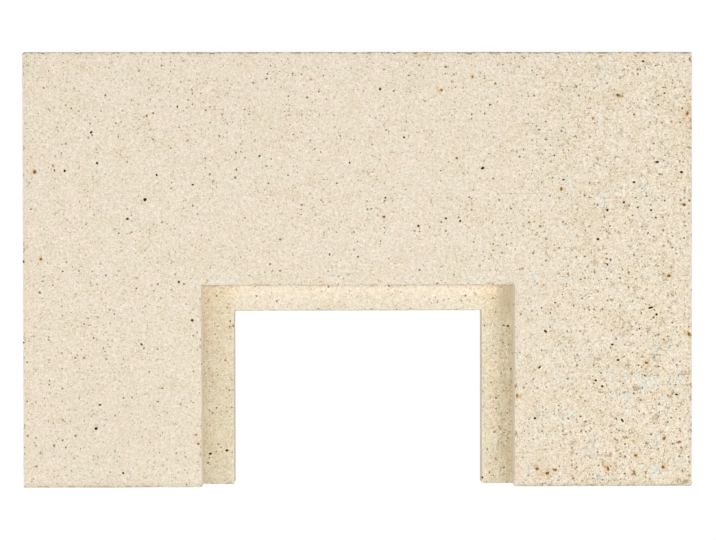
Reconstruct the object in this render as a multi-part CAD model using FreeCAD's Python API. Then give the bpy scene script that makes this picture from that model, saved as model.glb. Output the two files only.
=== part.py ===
"""Refractory firebrick: one fired fireclay slab for lining a stove or fireplace.

A notch for a grate or a flue opening goes through the slab in the middle of one long edge. A
rebate runs round the notch's three sides, so that a frame, a grate or a neighbouring slab can
lap into the face. Every outer edge has the slight rounding of a pressed and handled brick.

Frame: +X along the slab's length, +Y away from the notched edge, +Z out of the rebated face.
The origin is on the bed face, under the middle of the slab. Sizes are in millimetres.
"""

import FreeCAD
import Part
import os

# Slab
SLAB_LENGTH = 400.0
SLAB_WIDTH = 260.0
SLAB_THICKNESS = 30.0

# Notch: it goes right through, and it is open at the slab's -Y edge
NOTCH_WIDTH = 150.0
NOTCH_DEPTH = 105.0
NOTCH_CORNER_RADIUS = 1.2

# Rebate: how wide its ledge is beside the notch and above it, and how far it lies below the face
LEDGE_WIDTH_SIDE = 18.5
LEDGE_WIDTH_HEAD = 15.5
REBATE_DEPTH = 15.0
REBATE_CORNER_RADIUS = 0.8

# Arrises: the rounding of the outer edges
ARRIS_RADIUS = 0.8

# Places and sizes that follow from the ones above
NOTCHED_EDGE = -SLAB_WIDTH / 2.0
PLAIN_EDGE = SLAB_WIDTH / 2.0
LEDGE_LEVEL = SLAB_THICKNESS - REBATE_DEPTH
REBATE_WIDTH = NOTCH_WIDTH + 2.0 * LEDGE_WIDTH_SIDE
REBATE_REACH = NOTCH_DEPTH + LEDGE_WIDTH_HEAD

OVERRUN = 5.0  # how far a cut runs past the faces that it opens
NEAR = 0.001  # two places closer than this are the same place


def is_upright(edge):
    """True for an edge that runs straight along Z."""
    return edge.BoundBox.XLength < NEAR and edge.BoundBox.YLength < NEAR


def gap(width, reach, corner_radius, bottom):
    """A gap in the notched edge, from a level up past the face, with its two inner corners rounded."""
    corner = FreeCAD.Vector(-width / 2.0, NOTCHED_EDGE - OVERRUN, bottom)
    space = Part.makeBox(width, reach + OVERRUN, SLAB_THICKNESS + OVERRUN - bottom, corner)
    inner_corners = [e for e in space.Edges if is_upright(e) and e.CenterOfMass.y > NOTCHED_EDGE]
    return space.makeFillet(corner_radius, inner_corners)


def on_ledge_lip(edge):
    """True for an edge where the ledge ends at the notch."""
    box = edge.BoundBox
    level = abs(box.ZMin - LEDGE_LEVEL) < NEAR and abs(box.ZMax - LEDGE_LEVEL) < NEAR
    beside = abs(edge.CenterOfMass.x) < NOTCH_WIDTH / 2.0 + NEAR
    below_head = box.YMax < NOTCHED_EDGE + NOTCH_DEPTH + NEAR
    return level and beside and below_head


def arrises(brick):
    """The outer edges: those of the face, the bed and the two long sides, and the ledge's lip."""
    found = []
    for edge in brick.Edges:
        box = edge.BoundBox
        on_face = box.ZMin > SLAB_THICKNESS - NEAR
        on_bed = box.ZMax < NEAR
        on_notched_side = box.YMax < NOTCHED_EDGE + NEAR
        on_plain_side = box.YMin > PLAIN_EDGE - NEAR
        if on_face or on_bed or on_notched_side or on_plain_side or on_ledge_lip(edge):
            found.append(edge)
    return found


def firebrick():
    """The slab with its notch and rebate cut out and its arrises rounded."""
    corner = FreeCAD.Vector(-SLAB_LENGTH / 2.0, NOTCHED_EDGE, 0.0)
    slab = Part.makeBox(SLAB_LENGTH, SLAB_WIDTH, SLAB_THICKNESS, corner)
    notch = gap(NOTCH_WIDTH, NOTCH_DEPTH, NOTCH_CORNER_RADIUS, -OVERRUN)
    rebate = gap(REBATE_WIDTH, REBATE_REACH, REBATE_CORNER_RADIUS, LEDGE_LEVEL)
    brick = slab.cut(notch).cut(rebate)
    return brick.makeFillet(ARRIS_RADIUS, arrises(brick))


os.makedirs("parts", exist_ok=True)
firebrick().exportStep("parts/firebrick.step")
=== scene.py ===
"""The fired look of a notched refractory firebrick, dressed round its CAD solid.

One piece of pressed fireclay: a slab with a notch through its long edge and a rebate round the
notch. The slab is rebuilt here with worn arrises, chips and pores, and the iron spots and rust grains
that firing brings out of the clay are scattered over it. Lengths are in metres, apart from those of the
clay's blotches and specks and in the lists of grains and stains, which are in millimetres.
"""

import bmesh
import bpy
import math
import numpy as np
from collections import namedtuple
from mathutils import Matrix, Vector, noise
from types import SimpleNamespace

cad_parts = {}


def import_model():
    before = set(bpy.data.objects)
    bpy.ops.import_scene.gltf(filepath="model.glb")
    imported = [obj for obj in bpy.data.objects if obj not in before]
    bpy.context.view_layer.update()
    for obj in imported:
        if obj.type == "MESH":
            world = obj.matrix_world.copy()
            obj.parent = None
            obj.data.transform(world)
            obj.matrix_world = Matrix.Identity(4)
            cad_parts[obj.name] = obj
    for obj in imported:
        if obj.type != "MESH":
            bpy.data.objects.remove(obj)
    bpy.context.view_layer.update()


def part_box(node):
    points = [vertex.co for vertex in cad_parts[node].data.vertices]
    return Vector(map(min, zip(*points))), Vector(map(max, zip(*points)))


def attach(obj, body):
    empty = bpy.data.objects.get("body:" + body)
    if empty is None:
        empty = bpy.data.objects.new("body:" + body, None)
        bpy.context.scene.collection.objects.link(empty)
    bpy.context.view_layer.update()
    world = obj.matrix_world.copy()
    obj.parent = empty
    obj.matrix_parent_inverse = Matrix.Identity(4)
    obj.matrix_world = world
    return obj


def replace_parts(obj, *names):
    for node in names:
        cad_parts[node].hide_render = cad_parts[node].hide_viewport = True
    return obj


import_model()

MM = 0.001

# The slab, from the frame, and its notch and rebate
SLAB_LOW, SLAB_HIGH = (np.array(corner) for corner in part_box("firebrick"))
NOTCH_WIDTH = 150.0 * MM
NOTCH_DEPTH = 105.0 * MM
LEDGE_WIDTH_SIDE = 18.5 * MM
LEDGE_WIDTH_HEAD = 15.5 * MM
REBATE_DEPTH = 15.0 * MM

NOTCH_SIDE = NOTCH_WIDTH / 2.0
NOTCH_HEAD = SLAB_LOW[1] + NOTCH_DEPTH
REBATE_SIDE = NOTCH_SIDE + LEDGE_WIDTH_SIDE
REBATE_HEAD = NOTCH_HEAD + LEDGE_WIDTH_HEAD
LEDGE_LEVEL = SLAB_HIGH[2] - REBATE_DEPTH

# Mesh of the slab: close lines at the arrises and wider ones on the flats
FINE_STEP = 0.45 * MM
STEP_GROWTH = 1.4
WIDEST_STEP = 8.0 * MM
ARRIS_ANGLE = math.radians(57.0)
SHARP_ANGLE = math.radians(38.0)

# What the press left: rounded arrises, crisper at the notch's mouth, and faces a little sunk and wavy
ARRIS_RADIUS = 0.8 * MM
ARRIS_UNEVENNESS = 0.45
ARRIS_WAVE_LENGTH = 18.0 * MM
ARRIS_NOISE_SHIFT = 3.0
MOUTH_REACH = 3.0 * MM
MOUTH_CRISPNESS = 0.5
FACE_SINK = 0.05 * MM
FACE_WAVE = 0.12 * MM
FACE_WAVE_LENGTH = 35.0 * MM
FACE_NOISE_SHIFT = 7.0

# Coarse clay: where it starts and is full across the slab, where its front is, and its share behind
COARSE_START = 30.0 * MM
COARSE_FULL = 180.0 * MM
FRONT_FULL = -100.0 * MM
COARSE_BEHIND = 0.70

# Inputs of the trees: depth, width and raggedness as shares of a lump's size, and lift of its depth
CHIPS = {
    "Spacing": 4.0 * MM, "Kept": 0.55, "Smallest": 0.35 * MM, "Largest": 2.2 * MM, "Rarity": 3.0,
    "Depth": 0.8, "Narrowest": 0.6, "Lift": 0.35, "Ragged": 0.55, "Seed": 11,
}
PORES = {
    "Density": 12000.0, "Coarse share": 0.75, "Smallest": 0.35 * MM, "Largest": 1.1 * MM, "Rarity": 2.5,
    "Depth": 0.7, "Narrowest": 0.6, "Lift": 0.15, "Ragged": 0.5, "Seed": 23,
}
IRON_SPOTS = {
    "Density": 4500.0, "Coarse share": 0.6, "Smallest": 0.35 * MM, "Largest": 1.0 * MM, "Rarity": 2.5,
    "Proud": 0.06 * MM, "Narrowest": 0.45, "Lift": 0.0, "Ragged": 0.5, "Seed": 41,
}
RUST_GRAINS = {
    "Density": 12000.0, "Coarse share": 0.9, "Smallest": 0.35 * MM, "Largest": 1.05 * MM, "Rarity": 2.5,
    "Proud": 0.06 * MM, "Narrowest": 0.45, "Lift": 0.0, "Ragged": 0.5, "Seed": 57,
}
LARGE_GRAINS = {"Proud": 0.12 * MM, "Lift": 0.0, "Ragged": 0.8}

# Added to a tree's seed for its later random draws
WIDTH_DRAW = 1.0
SIZE_DRAW = 5.0

# Lumps: how close their ripples lie, which way these push, and a large grain's half sizes as shares
RIPPLE_SHARE = 0.8
ALL_ROUND = (1, 1, 1)
MOSTLY_LEVEL = (1, 1, 0.1)
HALF_LENGTH = 0.52
HALF_WIDTH = 0.54

# A vector that drops the height, and the middle of a noise's colours
LEVEL_ONLY = (1, 1, 0)
MIDDLE = (0.5, 0.5, 0.5)


# Node sums


def give(tree, socket, value):
    """Links a socket of another node to a socket, or sets a plain value there."""
    if isinstance(value, bpy.types.NodeSocket):
        tree.links.new(value, socket)
    else:
        socket.default_value = value


def add_node(tree, kind, sockets=None, **settings):
    """Adds a node, sets its settings, and gives its sockets values or links."""
    node = tree.nodes.new(kind)
    for name, value in settings.items():
        setattr(node, name, value)
    for name, value in (sockets or {}).items():
        give(tree, node.inputs[name], value)
    return node


def work_out(tree, operation, first, second=0.0, third=0.0):
    """One sum of numbers, as a Math node."""
    return add_node(tree, "ShaderNodeMath", {0: first, 1: second, 2: third}, operation=operation).outputs[0]


def times(tree, product, *others):
    """Numbers multiplied together."""
    for other in others:
        product = work_out(tree, "MULTIPLY", product, other)
    return product


def minus(tree, first, second):
    """One number less another."""
    return work_out(tree, "SUBTRACT", first, second)


def greater(tree, first, second):
    """The greater of two numbers."""
    return work_out(tree, "MAXIMUM", first, second)


def weighed(tree, total, *terms):
    """A number with others added to it, each times its own weight."""
    for value, weight in terms:
        total = work_out(tree, "MULTIPLY_ADD", value, weight, total)
    return total


def between(tree, share, ends):
    """A number that goes straight from the first end to the second as a share goes from 0 to 1."""
    return weighed(tree, ends[0], (share, ends[1] - ends[0]))


def ramp(tree, value, low, high, to_low=0.0, to_high=1.0):
    """A number that goes smoothly from one end to the other as value goes from low to high."""
    sockets = {"Value": value, "From Min": low, "From Max": high, "To Min": to_low, "To Max": to_high}
    return add_node(tree, "ShaderNodeMapRange", sockets, interpolation_type="SMOOTHSTEP").outputs[0]


def vectors(tree, operation, first, second):
    """One sum of two vectors, as a Vector Math node."""
    return add_node(tree, "ShaderNodeVectorMath", {0: first, 1: second}, operation=operation).outputs[0]


def scaled(tree, vector, amount):
    """A vector times a number."""
    sockets = {0: vector, "Scale": amount}
    return add_node(tree, "ShaderNodeVectorMath", sockets, operation="SCALE").outputs[0]


def length_of(tree, vector):
    """The length of a vector."""
    return add_node(tree, "ShaderNodeVectorMath", {0: vector}, operation="LENGTH").outputs["Value"]


def parts_of(tree, vector):
    """A vector's three numbers: across the slab, up it and in height."""
    return add_node(tree, "ShaderNodeSeparateXYZ", {0: vector}).outputs


def coarseness(tree, place):
    """How coarse the clay is at a place in metres: fine at the left, coarse at the right and in front."""
    parts = parts_of(tree, place)
    to_right = ramp(tree, parts[0], COARSE_START, COARSE_FULL)
    to_front = ramp(tree, parts[1], 0.0, FRONT_FULL, COARSE_BEHIND, 1.0)
    return times(tree, to_right, to_front)


# Slab


def graded_lines(*breaks):
    """Places along one axis: every break, with lines between that lie close together near a break."""
    lines = [breaks[0]]
    for start, end in zip(breaks, breaks[1:]):
        steps = []
        step = FINE_STEP
        while sum(steps) < (end - start) / 2.0:
            steps.append(step)
            step = min(step * STEP_GROWTH, WIDEST_STEP)
        offsets = np.cumsum(steps) * (end - start) / 2.0 / sum(steps)
        lines.extend(start + offsets)
        lines.extend((end - offsets[:-1])[::-1])
        lines.append(end)
    return np.array(lines)


def is_clay(x, y, z):
    """True for places in the slab that are in neither the notch nor the rebate."""
    in_notch = (abs(x) < NOTCH_SIDE) & (y < NOTCH_HEAD)
    in_rebate = (abs(x) < REBATE_SIDE) & (y < REBATE_HEAD) & (z > LEDGE_LEVEL)
    return ~(in_notch | in_rebate)


def clay_blocks():
    """The boxes that fill the slab: a head and two legs, each with a wider foot below the ledge."""
    low, high = SLAB_LOW, SLAB_HIGH
    blocks = []
    for side, head, top in ((REBATE_SIDE, REBATE_HEAD, high[2]), (NOTCH_SIDE, NOTCH_HEAD, LEDGE_LEVEL)):
        blocks.append((low, (-side, high[1], top)))
        blocks.append(((side, low[1], low[2]), (high[0], high[1], top)))
        blocks.append(((low[0], head, low[2]), (high[0], high[1], top)))
    return blocks


def from_core(points, margin):
    """For each point, the way to it from the nearest place that lies a margin inside the clay."""
    nearest = np.full((len(points), 3), np.inf)
    for low, high in clay_blocks():
        core = np.clip(points, np.array(low) + margin, np.array(high) - margin)
        way = points - core
        closer = (way ** 2).sum(axis=1) < (nearest ** 2).sum(axis=1)
        nearest[closer] = way[closer]
    return nearest


def uneven(points, wave_length, shift):
    """A smooth random number from 0 to 1 at each point."""
    start = Vector((shift, shift, shift))
    return np.array([0.5 + 0.5 * noise.noise(Vector(p) / wave_length + start) for p in points])


def sunk(points):
    """How far the pressed face lies below its nominal level at each point."""
    return FACE_SINK + FACE_WAVE * uneven(points, FACE_WAVE_LENGTH, FACE_NOISE_SHIFT)


def arris_radius(points):
    """The radius of an arris at each point: uneven, and smaller at the notch's mouth."""
    swing = 2.0 * uneven(points, ARRIS_WAVE_LENGTH, ARRIS_NOISE_SHIFT) - 1.0
    radius = ARRIS_RADIUS * (1.0 + ARRIS_UNEVENNESS * swing)
    in_front = points[:, 1] < SLAB_LOW[1] + MOUTH_REACH
    by_notch = abs(points[:, 0]) < REBATE_SIDE + MOUTH_REACH
    radius[in_front & by_notch] *= MOUTH_CRISPNESS
    return radius


def boundary_quads(filled):
    """The faces between filled and empty cells of a grid, as rows of four grid corners."""
    padded = np.pad(filled, 1)
    quads = []
    for axis in range(3):
        across = np.eye(3, dtype=int)[(axis + 1) % 3]
        along = np.eye(3, dtype=int)[(axis + 2) % 3]
        for side in (0, 1):
            beyond = np.roll(padded, 1 - 2 * side, axis)[1:-1, 1:-1, 1:-1]
            cells = np.argwhere(filled & ~beyond)
            corner = cells + side * np.eye(3, dtype=int)[axis]
            loop = [corner, corner + across, corner + across + along, corner + along]
            quads.append(np.stack(loop if side else loop[::-1], axis=1))
    return np.concatenate(quads)


def keep(mesh, name, values, kind="FLOAT", domain="POINT"):
    """Stores a value for each point or edge of a mesh under a name."""
    mesh.attributes.new(name, kind, domain).data.foreach_set("value", values)


def mark_arrises(mesh):
    """Marks the edges where two faces of the slab meet at an outer corner."""
    shape = bmesh.new()
    shape.from_mesh(mesh)
    shape.normal_update()
    marks = [edge.is_convex and edge.calc_face_angle() > ARRIS_ANGLE for edge in shape.edges]
    shape.free()
    keep(mesh, "arris", marks, "BOOLEAN", "EDGE")


def pressed_slab():
    """The slab as it left the press: its arrises unevenly rounded and its faces a little wavy."""
    lines = (
        graded_lines(SLAB_LOW[0], -REBATE_SIDE, -NOTCH_SIDE, NOTCH_SIDE, REBATE_SIDE, SLAB_HIGH[0]),
        graded_lines(SLAB_LOW[1], NOTCH_HEAD, REBATE_HEAD, SLAB_HIGH[1]),
        graded_lines(SLAB_LOW[2], LEDGE_LEVEL, SLAB_HIGH[2]),
    )
    middles = [(line[1:] + line[:-1]) / 2.0 for line in lines]
    quads = boundary_quads(is_clay(*np.meshgrid(*middles, indexing="ij")))
    shape = [len(line) for line in lines]
    numbers = np.ravel_multi_index(quads.reshape(-1, 3).T, shape)
    used, faces = np.unique(numbers, return_inverse=True)
    points = np.stack([line[i] for line, i in zip(lines, np.unravel_index(used, shape))], axis=1)

    mesh = bpy.data.meshes.new("fireclay_slab")
    mesh.from_pydata(points.tolist(), [], faces.reshape(-1, 4).tolist())
    mark_arrises(mesh)

    radius = arris_radius(points)
    way = from_core(points, radius[:, None])
    reach = np.linalg.norm(way, axis=1)
    points = points - way * np.maximum(0.0, 1.0 - radius / reach)[:, None]
    outward = way / reach[:, None]
    points = points - outward * sunk(points)[:, None]
    points[:, 2] = np.maximum(points[:, 2], SLAB_LOW[2])
    mesh.vertices.foreach_set("co", points.ravel())
    mesh.update()
    return mesh


# Geometry Nodes


def new_object(name, data):
    """An object in the scene for a mesh, a lamp or a camera."""
    thing = bpy.data.objects.new(name, data)
    bpy.context.scene.collection.objects.link(thing)
    return thing


def new_tree(name, sizes):
    """A Geometry Nodes tree with a named input for each size, and the sockets that give them."""
    tree = bpy.data.node_groups.new(name, "GeometryNodeTree")
    tree.interface.new_socket("Geometry", in_out="INPUT", socket_type="NodeSocketGeometry")
    tree.interface.new_socket("Geometry", in_out="OUTPUT", socket_type="NodeSocketGeometry")
    for size, value in sizes.items():
        kind = "NodeSocketInt" if isinstance(value, int) else "NodeSocketFloat"
        tree.interface.new_socket(size, in_out="INPUT", socket_type=kind)
    return tree, tree.nodes.new("NodeGroupInput").outputs


def close_tree(tree, shape, material):
    """Ends a tree: instances made real, and the material set."""
    real = add_node(tree, "GeometryNodeRealizeInstances", {0: shape})
    painted = add_node(tree, "GeometryNodeSetMaterial", {0: real.outputs[0], "Material": material})
    add_node(tree, "NodeGroupOutput", {0: painted.outputs[0]})


def grown(mesh, tree, sizes):
    """The mesh that a tree makes from another mesh, as plain data."""
    holder = new_object(tree.name, mesh)
    modifier = holder.modifiers.new(tree.name, "NODES")
    modifier.node_group = tree
    for item in tree.interface.items_tree:
        if item.in_out == "INPUT" and item.name in sizes:
            modifier[item.identifier] = sizes[item.name]
    depsgraph = bpy.context.evaluated_depsgraph_get()
    result = bpy.data.meshes.new_from_object(holder.evaluated_get(depsgraph), depsgraph=depsgraph)
    bpy.data.objects.remove(holder)
    return result


def named_attribute(tree, name, kind="FLOAT"):
    """A value that the points or edges keep under a name."""
    return add_node(tree, "GeometryNodeInputNamedAttribute", {"Name": name}, data_type=kind).outputs[0]


def stored(tree, shape, name, value, kind="FLOAT"):
    """A shape whose points keep a value under a name."""
    sockets = {0: shape, "Name": name, "Value": value}
    node = add_node(tree, "GeometryNodeStoreNamedAttribute", sockets, data_type=kind, domain="POINT")
    return node.outputs[0]


def position_in(tree):
    """The place of each point, in metres."""
    return tree.nodes.new("GeometryNodeInputPosition").outputs[0]


def chance(tree, low, high, seed):
    """A random number for each point."""
    node = tree.nodes.new("FunctionNodeRandomValue")
    node.data_type = "FLOAT"
    values = {"Min": low, "Max": high, "Seed": seed}
    for socket in node.inputs:
        if socket.enabled and socket.name in values:
            give(tree, socket, values[socket.name])
    return next(socket for socket in node.outputs if socket.enabled)


def lump_size(tree, given):
    """A random size for each point, with large ones rare."""
    luck = chance(tree, 0.0, 1.0, work_out(tree, "ADD", given["Seed"], SIZE_DRAW))
    spread = minus(tree, given["Largest"], given["Smallest"])
    return weighed(tree, given["Smallest"], (work_out(tree, "POWER", luck, given["Rarity"]), spread))


def spun(tree, given, upright):
    """A rotation with a random turn about its own upright axis."""
    turn = chance(tree, 0.0, 2.0 * math.pi, given["Seed"])
    spin = add_node(tree, "FunctionNodeAxisAngleToRotation", {1: turn}).outputs[0]
    sockets = {0: upright, 1: spin}
    return add_node(tree, "FunctionNodeRotateRotation", sockets, rotation_space="LOCAL").outputs[0]


def squat(tree, given, size, depth):
    """A lump's half sizes: its length, a random width and a depth."""
    share = chance(tree, given["Narrowest"], 1.0, work_out(tree, "ADD", given["Seed"], WIDTH_DRAW))
    sockets = {0: size, 1: times(tree, size, share), 2: depth}
    return add_node(tree, "ShaderNodeCombineXYZ", sockets).outputs[0]


def lumps(tree, given, points, turn, scale, size, spread=ALL_ROUND):
    """An irregular lump on each point, which keeps how near each of its points lies to its rim."""
    position = position_in(tree)
    ball = add_node(tree, "GeometryNodeMeshIcoSphere", {"Radius": 1.0, "Subdivisions": 2}).outputs[0]
    rim = length_of(tree, vectors(tree, "MULTIPLY", position, LEVEL_ONLY))
    rimmed = stored(tree, ball, "rim", rim)
    lift = add_node(tree, "ShaderNodeCombineXYZ", {2: given["Lift"]}).outputs[0]
    raised = add_node(tree, "GeometryNodeTransform", {0: rimmed, "Translation": lift}).outputs[0]
    sized = stored(tree, points, "lump_size", size)
    placed = {"Points": sized, "Instance": raised, "Rotation": turn, "Scale": scale}
    instances = add_node(tree, "GeometryNodeInstanceOnPoints", placed).outputs[0]
    real = add_node(tree, "GeometryNodeRealizeInstances", {0: instances}).outputs[0]

    own_size = named_attribute(tree, "lump_size")
    closeness = work_out(tree, "DIVIDE", RIPPLE_SHARE, own_size)
    ripple = add_node(tree, "ShaderNodeTexNoise", {"Vector": position, "Scale": closeness, "Detail": 1.0})
    swing = vectors(tree, "SUBTRACT", ripple.outputs["Color"], MIDDLE)
    push = scaled(tree, swing, times(tree, own_size, given["Ragged"]))
    offset = vectors(tree, "MULTIPLY", push, spread)
    return add_node(tree, "GeometryNodeSetPosition", {0: real, "Offset": offset}).outputs[0]


def random_lumps(tree, given, points, upright, depth=None):
    """A lump of random size, width and turn on each point, as deep as is given or as its size asks."""
    size = lump_size(tree, given)
    if depth is None:
        depth = times(tree, size, given["Depth"])
    turn = spun(tree, given, upright)
    return lumps(tree, given, points, turn, squat(tree, given, size, depth), size)


def scattered(tree, given, crowding=1.0):
    """Random points on the clay, sparse where it is fine and at full density where it is coarse."""
    fine_share = minus(tree, 1.0, given["Coarse share"])
    crowd = weighed(tree, fine_share, (coarseness(tree, position_in(tree)), given["Coarse share"]))
    density = times(tree, given["Density"], times(tree, crowd, crowding))
    sockets = {"Mesh": given["Geometry"], "Density": density, "Seed": given["Seed"]}
    return add_node(tree, "GeometryNodeDistributePointsOnFaces", sockets, distribute_method="RANDOM").outputs


def cut(tree, body, cutters):
    """A body with the cutters taken out of it."""
    sockets = {"Mesh 1": body, "Mesh 2": cutters}
    node = add_node(tree, "GeometryNodeMeshBoolean", sockets, operation="DIFFERENCE", solver="MANIFOLD")
    return node.outputs[0]


def chipped(mesh, material):
    """The slab with small chips knocked out of its arrises."""
    tree, given = new_tree("chipped_arrises", CHIPS)
    normal = tree.nodes.new("GeometryNodeInputNormal").outputs[0]
    body = stored(tree, given["Geometry"], "outward", normal, "FLOAT_VECTOR")
    chosen = {"Mesh": body, "Selection": named_attribute(tree, "arris", "BOOLEAN")}
    lines = add_node(tree, "GeometryNodeMeshToCurve", chosen).outputs[0]
    spaced = {"Curve": lines, "Length": given["Spacing"]}
    points = add_node(tree, "GeometryNodeCurveToPoints", spaced, mode="LENGTH").outputs[0]
    dropped = work_out(tree, "GREATER_THAN", chance(tree, 0.0, 1.0, given["Seed"]), given["Kept"])
    kept = add_node(tree, "GeometryNodeDeleteGeometry", {0: points, 1: dropped}, domain="POINT").outputs[0]
    outward = {"Vector": named_attribute(tree, "outward", "FLOAT_VECTOR")}
    upright = add_node(tree, "FunctionNodeAlignRotationToVector", outward, axis="Z").outputs[0]
    cutters = random_lumps(tree, given, kept, upright)
    close_tree(tree, cut(tree, given["Geometry"], cutters), material)
    return grown(mesh, tree, CHIPS)


def pitted(mesh, material):
    """The slab with open pores in its faces, most of them where the clay is coarse."""
    tree, given = new_tree("open_pores", PORES)
    points = scattered(tree, given)
    cutters = random_lumps(tree, given, points["Points"], points["Rotation"])
    close_tree(tree, cut(tree, given["Geometry"], cutters), material)
    return grown(mesh, tree, PORES)


def cleaned(mesh):
    """The mesh without the bubbles that cutters left inside it and the points where only two edges meet."""
    shape = bmesh.new()
    shape.from_mesh(mesh)
    outermost = max(shape.verts, key=lambda vertex: vertex.co.x)
    skin = {outermost}
    to_visit = [outermost]
    while to_visit:
        vertex = to_visit.pop()
        for edge in vertex.link_edges:
            neighbour = edge.other_vert(vertex)
            if neighbour not in skin:
                skin.add(neighbour)
                to_visit.append(neighbour)
    bmesh.ops.delete(shape, geom=[vertex for vertex in shape.verts if vertex not in skin], context="VERTS")
    for vertex in [vertex for vertex in shape.verts if len(vertex.link_edges) == 2]:
        if vertex.is_valid and len(vertex.link_edges) == 2:
            bmesh.utils.vert_collapse_edge(vertex, vertex.link_edges[0])
    bmesh.ops.triangulate(shape, faces=[face for face in shape.faces if len(face.verts) > 4])
    shape.to_mesh(mesh)
    shape.free()
    return mesh


def within_slab(tree, shape):
    """A shape with every point that stands out of the slab's box pushed back to it."""
    raised = vectors(tree, "MAXIMUM", position_in(tree), SLAB_LOW)
    inside = vectors(tree, "MINIMUM", raised, SLAB_HIGH)
    return add_node(tree, "GeometryNodeSetPosition", {0: shape, "Position": inside}).outputs[0]


def grains(mesh, name, material, sizes, in_stains):
    """Grains of another mineral that lie flush in the clay, all over it or mostly in its stains."""
    tree, given = new_tree(name, sizes)
    crowding = 1.0
    if in_stains:
        stain = staining(tree, in_millimetres(tree, position_in(tree)))
        crowding = ramp(tree, stain, *GRAINS_IN_STAIN)
    points = scattered(tree, given, crowding)
    shapes = random_lumps(tree, given, points["Points"], points["Rotation"], given["Proud"])
    close_tree(tree, within_slab(tree, shapes), material)
    return grown(mesh, tree, sizes)


def placed_grains(name, spots, material):
    """Large grains at chosen places on the face and the ledge: across, up, length, width and turn."""
    across, up, length, width, turn = np.array(spots, dtype=float).T
    across, up = across * MM, up * MM
    just_below_face = SLAB_HIGH[2] - MM
    level = np.where(is_clay(across, up, just_below_face), SLAB_HIGH[2], LEDGE_LEVEL)
    points = np.stack([across, up, level], axis=1)
    points[:, 2] -= sunk(points)
    mesh = bpy.data.meshes.new(name)
    mesh.from_pydata(points.tolist(), [], [])
    keep(mesh, "half_length", length * MM * HALF_LENGTH)
    keep(mesh, "half_width", width * MM * HALF_WIDTH)
    keep(mesh, "turn", np.radians(turn))

    tree, given = new_tree(name, LARGE_GRAINS)
    half_width = named_attribute(tree, "half_width")
    half_sizes = {0: named_attribute(tree, "half_length"), 1: half_width, 2: given["Proud"]}
    scale = add_node(tree, "ShaderNodeCombineXYZ", half_sizes).outputs[0]
    turned = {1: named_attribute(tree, "turn")}
    rotation = add_node(tree, "FunctionNodeAxisAngleToRotation", turned).outputs[0]
    shapes = lumps(tree, given, given["Geometry"], rotation, scale, half_width, MOSTLY_LEVEL)
    close_tree(tree, within_slab(tree, shapes), material)
    return grown(mesh, tree, LARGE_GRAINS)


# Materials

CREAM_PINK = (0.858, 0.748, 0.612, 1.0)
CREAM_GREEN = (0.842, 0.754, 0.606, 1.0)
TINGE_PINK = (1.035, 1.01, 1.02, 1.0)
TINGE_YELLOW = (1.01, 1.02, 0.945, 1.0)
TAN = (0.78, 0.63, 0.41, 1.0)
PALE = (0.80, 0.765, 0.65, 1.0)
MARK = (0.34, 0.23, 0.10, 1.0)
FRECKLE = (0.17, 0.10, 0.04, 1.0)
BROWN_DARK = (0.055, 0.034, 0.017, 1.0)
BROWN_LIGHT = (0.27, 0.155, 0.07, 1.0)
RUST_HALO = (0.70, 0.42, 0.16, 1.0)
RUST_CORE = (0.29, 0.12, 0.04, 1.0)
SEAM_BROWN = (0.28, 0.19, 0.10, 1.0)
# Painted shade in pores and chips
PORE_SHADE = (0.46, 0.29, 0.12, 1.0)
# Painted shade, partly dirt, on arrises that face up and down the slab and along the back edge, and dirt in
# front
ARRIS_SHADE_AND_DIRT = (0.30, 0.275, 0.235, 1.0)
FRONT_DIRT = (0.36, 0.32, 0.19, 1.0)
# Soil at the edges, and painted shade in the rebate's corner
SOIL_AND_CORNER_SHADE = (0.60, 0.53, 0.39, 1.0)
# Painted shade on the sunken ledge: darker and warmer beside the notch, a little darker at the notch's head
LEDGE_SIDE_SHADE = (0.925, 0.922, 0.85, 1.0)
LEDGE_HEAD_SHADE = (0.945, 0.957, 0.97, 1.0)
# Painted light on the rebate's upright sides and on arrises that face across the slab
PAINTED_LIGHT_PALE = (0.96, 0.87, 0.71, 1.0)
IRON_HEART = (0.028, 0.016, 0.006, 1.0)
IRON_SKIN = (0.15, 0.09, 0.038, 1.0)
RUST_HEART = (0.21, 0.11, 0.045, 1.0)
RUST_SKIN = (0.52, 0.33, 0.15, 1.0)

# Noises in the clay and in its grains: size in millimetres, detail and roughness
STAIN = (3.4, 3.0, 0.55)
GRIT = (0.8, 1.0, 0.6)
GRAIN = (2.0, 2.0, 0.6)
STREAK = (1.1, 2.0, 0.5)
PALE_PATCH = (9.0, 2.0, 0.5)
MINERAL_BLOTCH = (0.9, 2.0, 0.5)

# Noises that come out as blotches: the same, then where in the noise a blotch starts and where it is full
Blotches = namedtuple("Blotches", "size detail roughness start full")
HUES = Blotches(16.0, 3.0, 0.5, 0.35, 0.65)
TINGES = Blotches(3.5, 2.0, 0.5, 0.35, 0.65)
CLUSTERS = Blotches(13.0, 4.0, 0.6, 0.44, 0.68)
OPEN_SEAMS = Blotches(5.0, 2.0, 0.5, 0.50, 0.62)
SHADE_AND_DIRT_BLOTCHES = Blotches(3.5, 2.0, 0.5, 0.36, 0.60)
BROKEN_RIM = Blotches(2.4, 3.0, 0.5, 0.49, 0.60)

# Places moved about for ragged outlines: size of the ripple and how far it moves them, in millimetres
TORN = (0.8, 1.2)
BROKEN = (4.0, 11.0)
RAGGED_SEAM = (0.7, 1.5)

# Values in fine clay and in coarse clay
TINGE_SHARE = (0.15, 0.95)
TAN_SHARE = (0.20, 0.38)
PALE_START = (0.60, 0.54)
PALE_SHARE = (0.30, 1.00)
RUST_RARITY = (0.70, 0.59)
SHADE_ROUGHNESS = (1.0, 1.35)

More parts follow.
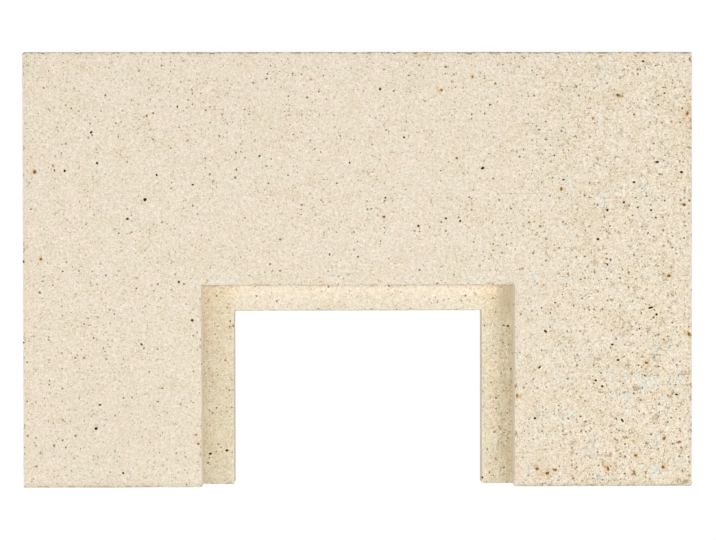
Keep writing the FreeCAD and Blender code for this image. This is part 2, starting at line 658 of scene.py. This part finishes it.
# Ramps: from, to, and the values at both ends where these aren't 0 and 1
GRAINS_IN_STAIN = (0.48, 0.60, 0.12, 1.0)
HALO_IN_STAIN = (0.0, 0.13, 0.0, 0.7)
CORE_IN_STAIN = (0.07, 0.13, 0.0, 0.85)
RUST_IN_STAIN = (0.40, 0.56, 0.25, 1.0)
SOIL_AND_SHADE_IN_GRAIN = (0.35, 0.6, 0.4, 1.0)
ROUGHNESS_IN_GRIT = (0.3, 0.7, 0.96, 0.82)
PATCH_FADE = (1.0, 0.25)
SEAM_FADE = (0.06, 0.01)
UPWARD = (0.3, 0.7)
LENGTHWISE = (0.05, 0.4)
RIM_TO_SKIN = (0.45, 1.05)
BLOTCH_SPAN = (0.3, 0.7)
TO_FRONT = (0.0, -50.0 * MM)
PALE_FULL = 0.70

# Specks: sizes in millimetres, the share of cells that hold one, and how strong and how deep they are
MARKS = SimpleNamespace(
    spacing=1.3, smallest=0.28, largest=0.74, core=0.35,
    share=(0.28, 0.58), in_cluster=0.30, on_ledge=0.30, strength=(0.24, 0.72), dent=-0.35,
)
FRECKLES = SimpleNamespace(
    spacing=1.7, smallest=0.30, largest=0.66, core=0.45,
    share=(0.022, 0.142), in_cluster=0.06, on_ledge=0.13, strength=(0.5, 1.0), dent=-0.3,
)
BROWN_SPECKS = SimpleNamespace(
    spacing=2.6, smallest=0.34, largest=0.88, core=0.5,
    share=(0.15, 0.49), in_cluster=0.0, on_ledge=0.0, strength=0.9, dent=-0.25,
)

# Light and dark in the grain, how deep it goes in red, green and blue, and streaks along the right ledge
GRIT_SHADE = 0.72
GRAIN_SHADE = 0.42
STREAK_SHADE = 0.5
SHADE_DEPTH = (0.87, 1.02, 1.34)
STREAK_STRETCH = (1.0, 0.07, 1.0)
STREAK_START = 4.0 * MM
STREAK_END = 6.0 * MM

# Seams between coarse grains, painted shade in pores and chips, and the halo round a large rust grain
SEAM_SPACING = 7.0
SEAM_STRENGTH = 0.75
SEAM_DENT = -0.6
PORE_SHADE_STRENGTH = 0.75
HALO_REACH = 1.4
HALO_STRENGTH = 0.6

# Soil at the edges, and the dark line along the long edges and arrises, which is painted shade, partly dirt,
# except in front, where it is dirt: how far they reach and how strong they are
SOIL_REACH = 4.0 * MM
SOIL_AROUND = 0.22
SOIL_IN_FRONT = 0.55
RIM_REACH = 1.7 * MM
RIM_FULL = 0.6 * MM
RIM_STRENGTH = 0.85
LEAST_SHADE_AND_DIRT = 0.30

# The ledge, which takes painted shade and more specks and streaks: how soft its border is, and where the
# notch's head gives way to its sides
LEDGE_BORDER = 0.6 * MM
LEDGE_TOP = 2.4 * MM
HEAD_END = 8.0 * MM
SIDE_START = 5.0 * MM

# The step's painted light: how far it reaches past the rebate's side, and how low it starts above the ledge
STEP_REACH = 1.5 * MM
STEP_FULL = 0.5 * MM
STEP_FOOT = 0.3 * MM
STEP_FOOT_FULL = 1.0 * MM

# Relief and gloss
GRIT_RELIEF = 0.6
GRAIN_RELIEF = 0.5
RELIEF_STRENGTH = 0.5
CLAY_RELIEF = 0.25 * MM
CLAY_GLOSS = 0.12
MINERAL_RELIEF = 0.15 * MM
MINERAL_GLOSS = 0.05
BLOTCH_SWING = 1.6
BLOTCH_ROUGHNESS = 0.25
IRON_ROUGHNESS = 0.6
RUST_ROUGHNESS = 0.7

# Nearness to an arris and depth in a pore or chip, which the mesh keeps and which place painted light and
# shade: how far from an arris, and how deep below a face
ARRIS_REACH = 1.6 * MM
ARRIS_FADE = 0.2
PORE_SHADE_START = 0.25 * MM
PORE_SHADE_FADE = 0.3 * MM

# Large grains that show by themselves: across, up, length and width in millimetres, and turn in degrees
LARGE_IRON_SPOTS = (
    (175, -23, 3.2, 1.3, 17), (112, -37, 2.6, 1.3, -40), (108.5, -58.5, 2.5, 1.1, 45),
    (158, -90.5, 2.7, 1.2, -50), (179, 64, 2.0, 1.6, 10), (193.5, 58, 2.0, 1.5, -20),
    (165, 52, 1.7, 1.4, 0), (159, 40, 1.6, 1.3, 30), (143.5, 18, 1.8, 1.5, 0),
    (74.5, 60.5, 2.3, 1.6, 20), (-137.5, 30.5, 1.8, 1.5, 0), (-99, -30, 1.8, 1.6, 0),
    (-156.5, -94.5, 2.1, 1.6, 10), (-79.5, -109.5, 2.0, 1.6, 0), (-89.5, -111.5, 2.0, 1.3, 15),
    (91, -34.5, 1.5, 1.2, 0), (142, -66.5, 1.7, 1.3, -30), (146, -70, 1.6, 1.2, -20),
    (152, -45, 1.7, 1.3, 25), (190.5, -75, 1.7, 1.3, 0), (52.5, 30.5, 1.6, 1.3, 0),
    (61, 29, 1.7, 1.3, 0), (36, 26, 1.7, 1.3, -30), (-127, 42, 2.2, 1.8, 60),
)
LARGE_RUST_GRAINS = (
    (-192.5, 58.5, 2.5, 1.9, 60), (-189, 6.5, 2.0, 1.6, 0), (198, -39, 2.4, 1.8, 80),
    (121.5, 48, 2.6, 1.5, 85), (95, -75.5, 2.2, 1.4, 80), (183, -101.5, 2.4, 1.8, 20),
    (166, -111.5, 2.2, 1.5, -20), (149.5, -119.5, 2.8, 1.6, -70), (113, -122, 2.4, 1.9, 30),
    (107, -119.5, 2.4, 1.8, -10), (118, -120, 2.0, 1.5, 10), (182.5, -118.5, 2.2, 1.7, 0),
    (172.5, -56, 2.2, 1.7, 0), (186, -4, 2.4, 1.8, 30), (50, 107, 2.2, 1.2, -60),
    (52.5, 121, 1.5, 1.2, 0), (82, 111, 1.5, 1.2, 0), (68.5, 115, 1.5, 1.0, -40),
    (15.5, 31.5, 2.0, 1.6, 0), (195, 38.5, 2.2, 1.8, 0), (155.5, 104, 2.7, 1.9, -10),
    (197, 93, 2.4, 1.7, 70), (-95.5, -104, 1.7, 1.3, 10), (-97, -98.5, 1.4, 1.1, 0),
)
# Broad stains: across, up, half length, half width and strength
STAINS = (
    (-91.5, -25.0, 4.0, 18.0, 0.25), (-95.0, -102.0, 5.0, 9.0, 0.30), (-75.5, -101.0, 2.5, 6.0, 0.35),
    (94.5, -117.0, 4.0, 9.0, 0.35), (111.0, -121.0, 10.0, 5.0, 0.30), (150.0, -119.0, 5.0, 8.0, 0.30),
    (39.0, 128.0, 7.0, 3.0, 0.50), (198.0, 93.0, 4.0, 10.0, 0.40), (-112.0, -69.5, 15.0, 3.0, 0.15),
)
# Painted shade in the right rebate's corner, where the step's shadow reaches the head, and the left leg made
# faintly darker, in the same order
DARKER_PLACES = ((90.5, -17.0, 7.0, 14.0, 0.75), (-150.0, -100.0, 75.0, 60.0, 0.09))


def new_material(name):
    """A material with its tree, its shader and its places in metres."""
    material = bpy.data.materials.new(name)
    material.use_nodes = True
    tree = material.node_tree
    place = tree.nodes.new("ShaderNodeTexCoord").outputs["Object"]
    return material, tree, tree.nodes["Principled BSDF"], place


def blended(tree, share, first, second, way="MIX"):
    """Two colours mixed by a share."""
    node = add_node(tree, "ShaderNodeMix", {0: share, 6: first, 7: second}, data_type="RGBA", blend_type=way)
    return node.outputs[2]


def noise_node(tree, place, size, detail=2.0, roughness=0.5):
    """A noise whose blotches are of about a size in millimetres."""
    sockets = {"Vector": place, "Scale": 1.0 / size, "Detail": detail, "Roughness": roughness}
    return add_node(tree, "ShaderNodeTexNoise", sockets).outputs


def mottle(tree, place, *kind):
    """A noise as one number at each place."""
    return noise_node(tree, place, *kind)["Fac"]


def blotches(tree, place, kind, least=0.0):
    """Blotches of one kind, from the least value between them to 1 within them."""
    value = mottle(tree, place, kind.size, kind.detail, kind.roughness)
    return ramp(tree, value, kind.start, kind.full, least, 1.0)


def centred(tree, value):
    """A noise as a swing about nought."""
    return minus(tree, value, 0.5)


def in_millimetres(tree, metres):
    """Places in millimetres."""
    return scaled(tree, metres, 1.0 / MM)


def shaken(tree, place, size, amount):
    """A place moved about at random, so that what is drawn there gets a ragged outline."""
    swing = vectors(tree, "SUBTRACT", noise_node(tree, place, size)["Color"], MIDDLE)
    return vectors(tree, "ADD", place, scaled(tree, swing, amount))


def staining(tree, place):
    """Where rust has bled into the clay: a random number that is high in few places."""
    return mottle(tree, place, *STAIN)


def kept_value(tree, name):
    """A value that the mesh keeps under a name."""
    return add_node(tree, "ShaderNodeAttribute", attribute_name=name).outputs["Fac"]


def facing(tree):
    """How far the surface faces across the slab, up it and upwards."""
    return parts_of(tree, tree.nodes.new("ShaderNodeNewGeometry").outputs["Normal"])


def facing_up(tree):
    """1 on the face and the ledge, and 0 on the sides and the bed."""
    return ramp(tree, facing(tree)[2], *UPWARD)


def patches_shown(tree, place, rows):
    """How strongly the patches in a list show on the upward faces: each fades out from its middle."""
    level = vectors(tree, "MULTIPLY", place, LEVEL_ONLY)
    strongest = 0.0
    for x, y, half_length, half_width, strength in rows:
        sockets = {"Vector": level, "Location": (x, y, 0), "Scale": (half_length, half_width, 1)}
        local = add_node(tree, "ShaderNodeMapping", sockets, vector_type="TEXTURE").outputs[0]
        shown = ramp(tree, length_of(tree, local), *PATCH_FADE, 0.0, strength)
        strongest = greater(tree, strongest, shown)
    return times(tree, strongest, facing_up(tree))


def soiled_edge(tree, metres):
    """How near a place lies to the slab's outer edges, which handling has soiled, most of all in front."""
    parts = parts_of(tree, metres)
    from_side = minus(tree, SLAB_HIGH[0], work_out(tree, "ABSOLUTE", parts[0]))
    inside = work_out(tree, "MINIMUM", from_side, minus(tree, SLAB_HIGH[1], parts[1]))
    around = ramp(tree, inside, SOIL_REACH, 0.0, 0.0, SOIL_AROUND)
    front = ramp(tree, parts[1], SLAB_LOW[1] + SOIL_REACH, SLAB_LOW[1], 0.0, SOIL_IN_FRONT)
    return greater(tree, around, front)


def dark_rim(tree, metres, place):
    """A ragged and broken dark line on the face along the slab's two long edges: painted shade, partly dirt,
    at the back, and dirt in front.
    """
    up = parts_of(tree, metres)[1]
    inside = work_out(tree, "MINIMUM", minus(tree, up, SLAB_LOW[1]), minus(tree, SLAB_HIGH[1], up))
    band = ramp(tree, inside, RIM_REACH, RIM_FULL, 0.0, RIM_STRENGTH)
    return times(tree, band, blotches(tree, place, BROKEN_RIM), facing_up(tree))


def on_ledge(tree, metres):
    """1 on the ledge and 0 elsewhere, and how much of that is beside the notch and not at its head."""
    parts = parts_of(tree, metres)
    from_middle = work_out(tree, "ABSOLUTE", parts[0])
    within = ramp(tree, from_middle, REBATE_SIDE + LEDGE_BORDER, REBATE_SIDE - LEDGE_BORDER)
    before = ramp(tree, parts[1], REBATE_HEAD + LEDGE_BORDER, REBATE_HEAD - LEDGE_BORDER)
    low = ramp(tree, parts[2], LEDGE_LEVEL + LEDGE_TOP, LEDGE_LEVEL + LEDGE_BORDER)
    beside = ramp(tree, from_middle, NOTCH_SIDE - HEAD_END, NOTCH_SIDE + SIDE_START)
    return times(tree, within, before, low, facing_up(tree)), beside


def on_step(tree, metres):
    """1 on the rebate's upright sides, which take painted light, and 0 elsewhere."""
    parts = parts_of(tree, metres)
    from_middle = work_out(tree, "ABSOLUTE", parts[0])
    inside = ramp(tree, from_middle, REBATE_SIDE + STEP_REACH, REBATE_SIDE + STEP_FULL)
    above = ramp(tree, parts[2], LEDGE_LEVEL + STEP_FOOT, LEDGE_LEVEL + STEP_FOOT_FULL)
    return times(tree, inside, above, minus(tree, 1.0, facing_up(tree)))


def mottled(clay):
    """The clay's own colour: cream with a tinge, tan where specks cluster, and pale grog."""
    tree = clay.tree
    colour = blended(tree, blotches(tree, clay.place, HUES), CREAM_PINK, CREAM_GREEN)
    tinge = blended(tree, blotches(tree, clay.broken, TINGES), TINGE_PINK, TINGE_YELLOW)
    colour = blended(tree, between(tree, clay.coarse, TINGE_SHARE), colour, tinge, "MULTIPLY")
    tan = times(tree, clay.cluster, between(tree, clay.coarse, TAN_SHARE))
    colour = blended(tree, tan, colour, TAN)
    patch = mottle(tree, clay.broken, *PALE_PATCH)
    pale = ramp(tree, patch, between(tree, clay.coarse, PALE_START), PALE_FULL)
    pale = times(tree, pale, between(tree, clay.coarse, PALE_SHARE))
    return blended(tree, pale, colour, PALE)


def rusted(clay, colour):
    """A colour with rust bled into it: in small stains, round the large rust grains and in broad stains."""
    tree = clay.tree
    stained = minus(tree, clay.stain, clay.rust_rarity)
    colour = blended(tree, ramp(tree, stained, *HALO_IN_STAIN), colour, RUST_HALO)
    halos = [
        (x, y, HALO_REACH * length, HALO_REACH * length, HALO_STRENGTH)
        for x, y, length, width, turn in LARGE_RUST_GRAINS
    ]
    rust = patches_shown(tree, clay.broken, halos + list(STAINS))
    rust = times(tree, rust, ramp(tree, clay.stain, *RUST_IN_STAIN))
    return blended(tree, rust, colour, RUST_HALO)


def shaded(clay, colour):
    """A colour with the light and dark of the grain, and with streaks along the right ledge."""
    tree = clay.tree
    stretched = {"Vector": clay.place, "Scale": STREAK_STRETCH}
    streak = mottle(tree, add_node(tree, "ShaderNodeMapping", stretched).outputs[0], *STREAK)
    across = parts_of(tree, clay.metres)[0]
    at_right = ramp(tree, across, NOTCH_SIDE + STREAK_START, REBATE_SIDE - STREAK_END)
    streaked = times(tree, clay.ledge, at_right)
    shade = times(tree, centred(tree, clay.grit), GRIT_SHADE)
    shade = weighed(tree, shade, (centred(tree, clay.grain), GRAIN_SHADE))
    shade = times(tree, shade, between(tree, clay.coarse, SHADE_ROUGHNESS))
    shade = weighed(tree, shade, (times(tree, centred(tree, streak), streaked), STREAK_SHADE))
    tones = [weighed(tree, 1.0, (shade, depth)) for depth in SHADE_DEPTH]
    grey = add_node(tree, "ShaderNodeCombineColor", dict(enumerate(tones))).outputs[0]
    return blended(tree, 1.0, colour, grey, "MULTIPLY")


def specks(clay, kind):
    """Specks of one kind, with one chance in each cell: how strongly they show, and a random tone."""
    tree = clay.tree
    share = between(tree, clay.coarse, kind.share)
    share = weighed(tree, share, (clay.cluster, kind.in_cluster), (clay.ledge, kind.on_ledge))
    spaced = {"Vector": clay.torn, "Scale": 1.0 / kind.spacing}
    cells = add_node(tree, "ShaderNodeTexVoronoi", spaced).outputs
    luck = add_node(tree, "ShaderNodeSeparateColor", {0: cells["Color"]}).outputs
    shown = work_out(tree, "LESS_THAN", luck[0], share)
    radius = between(tree, luck[1], (kind.smallest / kind.spacing, kind.largest / kind.spacing))
    inside = ramp(tree, cells["Distance"], radius, times(tree, radius, kind.core))
    return times(tree, inside, shown), luck[2]


def specked(clay, colour):
    """A colour with marks, freckles, hearts of rust and brown specks, and what dents the clay how deep."""
    tree = clay.tree
    marks, tone = specks(clay, MARKS)
    marks = times(tree, marks, between(tree, tone, MARKS.strength))
    colour = blended(tree, marks, colour, MARK)
    freckles, tone = specks(clay, FRECKLES)
    freckles = times(tree, freckles, between(tree, tone, FRECKLES.strength))
    colour = blended(tree, freckles, colour, FRECKLE)
    stained = minus(tree, staining(tree, clay.torn), clay.rust_rarity)
    colour = blended(tree, ramp(tree, stained, *CORE_IN_STAIN), colour, RUST_CORE)
    brown, tone = specks(clay, BROWN_SPECKS)
    brown_colour = blended(tree, tone, BROWN_DARK, BROWN_LIGHT)
    colour = blended(tree, times(tree, brown, BROWN_SPECKS.strength), colour, brown_colour)
    return colour, [(marks, MARKS.dent), (freckles, FRECKLES.dent), (brown, BROWN_SPECKS.dent)]


def seamed(clay, colour):
    """A colour with brown seams between the grains of the coarse clay, and what dents the clay how deep."""
    tree = clay.tree
    cells = {"Vector": shaken(tree, clay.broken, *RAGGED_SEAM), "Scale": 1.0 / SEAM_SPACING}
    edges = add_node(tree, "ShaderNodeTexVoronoi", cells, feature="DISTANCE_TO_EDGE").outputs["Distance"]
    seam = times(tree, ramp(tree, edges, *SEAM_FADE), blotches(tree, clay.place, OPEN_SEAMS), clay.coarse)
    return blended(tree, times(tree, seam, SEAM_STRENGTH), colour, SEAM_BROWN), (seam, SEAM_DENT)


def shaded_and_soiled(clay, colour):
    """A colour with painted shade in the pores and chips, on the sunken ledge and in the rebate's corner,
    soil at the edges, and the left leg faintly darker.
    """
    tree = clay.tree
    # Painted shade: darker and warmer the deeper in a pore or chip
    colour = blended(tree, times(tree, kept_value(tree, "pore"), PORE_SHADE_STRENGTH), colour, PORE_SHADE)
    # Painted shade: the sunken ledge darker, most of all beside the notch
    ledge_shade = blended(tree, clay.beside, LEDGE_HEAD_SHADE, LEDGE_SIDE_SHADE)
    colour = blended(tree, clay.sunken, colour, ledge_shade, "MULTIPLY")
    # Soil at the edges, painted shade in the rebate's corner, and the left leg faintly darker
    soil_and_shade = greater(tree, soiled_edge(tree, clay.metres), patches_shown(tree, clay.place, DARKER_PLACES))
    soil_and_shade = times(tree, soil_and_shade, ramp(tree, clay.grain, *SOIL_AND_SHADE_IN_GRAIN))
    return blended(tree, soil_and_shade, colour, SOIL_AND_CORNER_SHADE)


def edge_light_shade_and_dirt(clay, colour):
    """A colour with painted light on the step and the arrises that face across the slab, and a dark line
    along the long edges and the other arrises: painted shade, partly dirt, and dirt in front.
    """
    tree = clay.tree
    near_arris = kept_value(tree, "arris_nearness")
    lengthwise = ramp(tree, work_out(tree, "ABSOLUTE", facing(tree)[1]), *LENGTHWISE)
    # Painted light: paler on the rebate's upright sides and on arrises that face across the slab, towards
    # the side lamps
    painted_light = greater(tree, near_arris, on_step(tree, clay.metres))
    painted_light = times(tree, painted_light, minus(tree, 1.0, lengthwise))
    colour = blended(tree, painted_light, colour, PAINTED_LIGHT_PALE)
    # Painted shade, partly dirt, on arrises that face up and down the slab and along the long edges; dirt in
    # front
    shade_and_dirt_patches = times(tree, blotches(tree, clay.place, SHADE_AND_DIRT_BLOTCHES, LEAST_SHADE_AND_DIRT), lengthwise)
    shade_and_dirt = greater(tree, times(tree, near_arris, shade_and_dirt_patches), dark_rim(tree, clay.metres, clay.place))
    in_front = ramp(tree, parts_of(tree, clay.metres)[1], *TO_FRONT)
    return blended(tree, shade_and_dirt, colour, blended(tree, in_front, ARRIS_SHADE_AND_DIRT, FRONT_DIRT))


def add_relief(tree, shader, height, distance):
    """Gives a shader fine relief from a height."""
    sockets = {"Strength": RELIEF_STRENGTH, "Distance": distance, "Height": height}
    give(tree, shader.inputs["Normal"], add_node(tree, "ShaderNodeBump", sockets).outputs[0])


def fireclay():
    """Pale fired clay: mottled cream with grog, specks and rust stains; painted light on the step and side
    arrises; painted shade on the ledge, in the pores and, partly dirt, on the other arrises.
    """
    material, tree, shader, metres = new_material("fireclay")
    place = in_millimetres(tree, metres)
    coarse = coarseness(tree, metres)
    sunken, beside = on_ledge(tree, metres)
    clay = SimpleNamespace(
        tree=tree, metres=metres, place=place, coarse=coarse,
        torn=shaken(tree, place, *TORN), broken=shaken(tree, place, *BROKEN),
        sunken=sunken, beside=beside, ledge=times(tree, sunken, beside),
        cluster=blotches(tree, place, CLUSTERS), stain=staining(tree, place),
        rust_rarity=between(tree, coarse, RUST_RARITY),
        grit=mottle(tree, place, *GRIT), grain=mottle(tree, place, *GRAIN),
    )
    colour = shaded(clay, rusted(clay, mottled(clay)))
    colour, dents = specked(clay, colour)
    colour, seam_dent = seamed(clay, colour)
    give(tree, shader.inputs["Base Color"], edge_light_shade_and_dirt(clay, shaded_and_soiled(clay, colour)))
    give(tree, shader.inputs["Roughness"], ramp(tree, clay.grit, *ROUGHNESS_IN_GRIT))
    give(tree, shader.inputs["Specular IOR Level"], CLAY_GLOSS)
    height = times(tree, clay.grain, GRAIN_RELIEF)
    height = weighed(tree, height, (clay.grit, GRIT_RELIEF), *dents, seam_dent)
    add_relief(tree, shader, height, CLAY_RELIEF)
    return material


def mineral(name, heart, skin, roughness):
    """A grain's material: a dark heart and a lighter skin at its rim, in small blotches."""
    material, tree, shader, metres = new_material(name)
    blotch = mottle(tree, in_millimetres(tree, metres), *MINERAL_BLOTCH)
    outward = weighed(tree, kept_value(tree, "rim"), (centred(tree, blotch), BLOTCH_SWING))
    colour = blended(tree, ramp(tree, outward, *RIM_TO_SKIN), heart, skin)
    rougher = ramp(tree, blotch, *BLOTCH_SPAN, roughness, roughness + BLOTCH_ROUGHNESS)
    give(tree, shader.inputs["Base Color"], colour)
    give(tree, shader.inputs["Roughness"], rougher)
    give(tree, shader.inputs["Specular IOR Level"], MINERAL_GLOSS)
    add_relief(tree, shader, blotch, MINERAL_RELIEF)
    return material


# Pieces

# Map for baking: widths of the face's and the other flats' pictures, and where they start
FACE_MAP_WIDTH = 0.996
SIDE_MAP_WIDTH = 0.47
FACE_MAP = (0.002, 0.002)
BED_MAP = (0.004, 0.665)
ROW_MAP = (0.49, 0.665)
ROW_STEP = 0.0425
RIGHT_MAP = 0.66
Flat = namedtuple("Flat", "axis way low high place scale")

# How much farther off a flat counts for a face that is turned away from it
TURNED_AWAY = 0.4 * MM


def finish_piece(mesh, name):
    """An object at the origin for a finished mesh, which rides on the part's one body."""
    mesh.name = name
    mesh.shade_smooth()
    mesh.set_sharp_from_angle(angle=SHARP_ANGLE)
    piece = new_object(name, mesh)
    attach(piece, "root")
    return piece


def read_rows(items, name):
    """A vector of all items of a mesh, as one row for each."""
    values = np.empty(len(items) * 3)
    items.foreach_get(name, values)
    return values.reshape(-1, 3)


def read_counts(items, name):
    """A whole number of all items of a mesh."""
    values = np.empty(len(items), dtype=int)
    items.foreach_get(name, values)
    return values


def add_arris_and_pore_depth(mesh):
    """Stores how near each point lies to an arris, and how deep in a pore or chip, from 0 to 1, for painted
    light and shade.
    """
    distance = np.linalg.norm(from_core(read_rows(mesh.vertices, "co"), ARRIS_REACH), axis=1)
    keep(mesh, "arris_nearness", np.clip((distance / ARRIS_REACH - 1.0) / ARRIS_FADE, 0.0, 1.0))
    keep(mesh, "pore", np.clip((ARRIS_REACH - distance - PORE_SHADE_START) / PORE_SHADE_FADE, 0.0, 1.0))


def flats():
    """The slab's flat sides: the axis each faces along and which way, two corners, and its map."""
    (x0, y0, z0), (x1, y1, z1) = SLAB_LOW, SLAB_HIGH
    step, step_head, ledge = REBATE_SIDE, REBATE_HEAD, LEDGE_LEVEL
    notch, notch_head = NOTCH_SIDE, NOTCH_HEAD
    large = FACE_MAP_WIDTH / (x1 - x0)
    small = SIDE_MAP_WIDTH / (x1 - x0)
    back, front, left, right, inner_left, head = (
        (ROW_MAP[0], ROW_MAP[1] + ROW_STEP * row) for row in range(6)
    )
    inner_right = (RIGHT_MAP, inner_left[1])
    return (
        Flat(2, 1, (x0, y0, z1), (x1, y1, z1), FACE_MAP, large),
        Flat(2, 1, (-step, y0, ledge), (step, step_head, ledge), FACE_MAP, large),
        Flat(2, -1, (x0, y0, z0), (x1, y1, z0), BED_MAP, small),
        Flat(1, 1, (x0, y1, z0), (x1, y1, z1), back, small),
        Flat(1, -1, (x0, y0, z0), (x1, y0, z1), front, small),
        Flat(0, -1, (x0, y0, z0), (x0, y1, z1), left, small),
        Flat(0, 1, (x1, y0, z0), (x1, y1, z1), right, small),
        Flat(0, 1, (-step, y0, ledge), (-step, step_head, z1), inner_left, small),
        Flat(0, 1, (-notch, y0, z0), (-notch, notch_head, ledge), inner_left, small),
        Flat(0, -1, (step, y0, ledge), (step, step_head, z1), inner_right, small),
        Flat(0, -1, (notch, y0, z0), (notch, notch_head, ledge), inner_right, small),
        Flat(1, -1, (-step, step_head, ledge), (step, step_head, z1), head, small),
        Flat(1, -1, (-notch, notch_head, z0), (notch, notch_head, ledge), head, small),
    )


def add_bake_map(mesh):
    """A map for baking the slab's colours: the face and the ledge large and from above, the rest smaller."""
    sides = flats()
    centres = read_rows(mesh.polygons, "center")
    normals = read_rows(mesh.polygons, "normal")
    corners = read_counts(mesh.loops, "vertex_index")
    from_low = read_rows(mesh.vertices, "co")[corners] - SLAB_LOW
    costs = []
    for flat in sides:
        away = np.linalg.norm(centres - np.clip(centres, flat.low, flat.high), axis=1)
        costs.append(away + TURNED_AWAY * (1.0 - flat.way * normals[:, flat.axis]))
    nearest = np.repeat(np.argmin(costs, axis=0), read_counts(mesh.polygons, "loop_total"))
    spots = np.empty((len(corners), 2))
    for number, flat in enumerate(sides):
        mine = nearest == number
        along = [axis for axis in range(3) if axis != flat.axis]
        spots[mine] = np.array(flat.place) + from_low[mine][:, along] * flat.scale
    mesh.uv_layers.new(name="OFBake").data.foreach_set("uv", spots.ravel())


def firebrick():
    """The slab with its chips and pores, and the grains in it."""
    clay = fireclay()
    slab = cleaned(pitted(chipped(pressed_slab(), clay), clay))
    add_arris_and_pore_depth(slab)
    add_bake_map(slab)
    iron = mineral("iron_spot", IRON_HEART, IRON_SKIN, IRON_ROUGHNESS)
    rust = mineral("rust_grain", RUST_HEART, RUST_SKIN, RUST_ROUGHNESS)
    dressing = {
        "iron_spots": grains(slab, "iron_spots", iron, IRON_SPOTS, in_stains=False),
        "rust_grains": grains(slab, "rust_grains", rust, RUST_GRAINS, in_stains=True),
        "large_iron_spots": placed_grains("large_iron_spots", LARGE_IRON_SPOTS, iron),
        "large_rust_grains": placed_grains("large_rust_grains", LARGE_RUST_GRAINS, rust),
    }
    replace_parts(finish_piece(slab, "fireclay_slab"), "firebrick")
    for name, mesh in dressing.items():
        finish_piece(mesh, name)


# Stage: floor, light and camera

FLOOR_SIZE = 8.0
FLOOR_PAPER = (0.8, 0.8, 0.8, 1.0)
FLOOR_FAINT = (0.14, 0.14, 0.14, 1.0)
FLOOR_GLOW = 0.9
WHITE = (1.0, 1.0, 1.0, 1.0)
AMBIENT = 0.05

# Soft lamps: place, level side and sloping side in metres, and the light each gives the face
LAMPS = {
    "left_lamp": ((-1.6, -0.32, 2.0), 1.4, 2.3, 0.328),
    "right_lamp": ((1.5, -0.32, 2.1), 1.4, 1.25, 0.36),
    "front_lamp": ((0.0, -2.4, 1.0), 1.6, 0.8, 0.03),
    "top_lamp": ((0.0, -0.2, 3.0), 1.2, 1.2, 0.305),
}

CAMERA_PLACE = Vector((-10.15 * MM, 9.6 * MM, 1056.0 * MM))
CAMERA_AIM = Vector((-0.05 * MM, -0.2 * MM, 30.0 * MM))
CAMERA_ROLL = math.radians(-0.09)
CAMERA_LENS = 86.4
SENSOR_WIDTH = 36.0


def seen_directly(tree):
    """1 for what the camera, a mirror or a glass shows, and 0 for the light that the scene gets."""
    path = tree.nodes.new("ShaderNodeLightPath").outputs
    seen = greater(tree, path["Is Camera Ray"], path["Is Glossy Ray"])
    return greater(tree, seen, path["Is Transmission Ray"])


def floor():
    """A plain white floor that glows to the camera, so that it is white beside its shadow."""
    mesh = bpy.data.meshes.new("floor")
    half = FLOOR_SIZE / 2.0
    corners = [(-half, -half, 0.0), (half, -half, 0.0), (half, half, 0.0), (-half, half, 0.0)]
    mesh.from_pydata(corners, [], [(0, 1, 2, 3)])
    material = bpy.data.materials.new("floor_white")
    material.use_nodes = True
    tree = material.node_tree
    tree.nodes.remove(tree.nodes["Principled BSDF"])
    paper = add_node(tree, "ShaderNodeBsdfDiffuse", {"Color": FLOOR_PAPER})
    faint = add_node(tree, "ShaderNodeBsdfDiffuse", {"Color": FLOOR_FAINT})
    glow = add_node(tree, "ShaderNodeEmission", {"Color": WHITE, "Strength": FLOOR_GLOW})
    lit = add_node(tree, "ShaderNodeAddShader", {0: faint.outputs[0], 1: glow.outputs[0]})
    sockets = {0: seen_directly(tree), 1: paper.outputs[0], 2: lit.outputs[0]}
    mixed = add_node(tree, "ShaderNodeMixShader", sockets)
    give(tree, tree.nodes["Material Output"].inputs["Surface"], mixed.outputs[0])
    mesh.materials.append(material)
    new_object("floor", mesh)


def world():
    """A white surround, which gives the scene only a little light."""
    surround = bpy.data.worlds.new("surround")
    surround.use_nodes = True
    tree = surround.node_tree
    background = tree.nodes["Background"]
    give(tree, background.inputs["Color"], WHITE)
    give(tree, background.inputs["Strength"], between(tree, seen_directly(tree), (AMBIENT, 1.0)))
    bpy.context.scene.world = surround


def softbox(name, place, across, rise, share):
    """A large soft lamp aimed at the slab, with a level and a sloping side, and its light on the face."""
    lamp = bpy.data.lights.new(name, "AREA")
    lamp.shape = "RECTANGLE"
    lamp.size = across
    lamp.size_y = rise
    lamp.energy = share * math.pi ** 2 * place.length ** 3 / place.z
    holder = new_object(name, lamp)
    holder.location = place
    holder.rotation_euler = place.to_track_quat("Z", "Y").to_euler()


def camera():
    """The camera, almost straight above the slab, as in the photograph."""
    lens = bpy.data.cameras.new("camera")
    lens.sensor_width = SENSOR_WIDTH
    lens.lens = CAMERA_LENS
    holder = new_object("camera", lens)
    look = (CAMERA_AIM - CAMERA_PLACE).normalized()
    right = look.cross(Vector((0.0, 1.0, 0.0))).normalized()
    turn = Matrix((right, right.cross(look), -look)).transposed() @ Matrix.Rotation(CAMERA_ROLL, 3, "Z")
    holder.location = CAMERA_PLACE
    holder.rotation_euler = turn.to_euler()
    bpy.context.scene.camera = holder


bpy.context.scene.view_settings.view_transform = "Standard"
firebrick()
floor()
world()
for name, (place, across, rise, share) in LAMPS.items():
    softbox(name, Vector(place), across, rise, share)
camera()
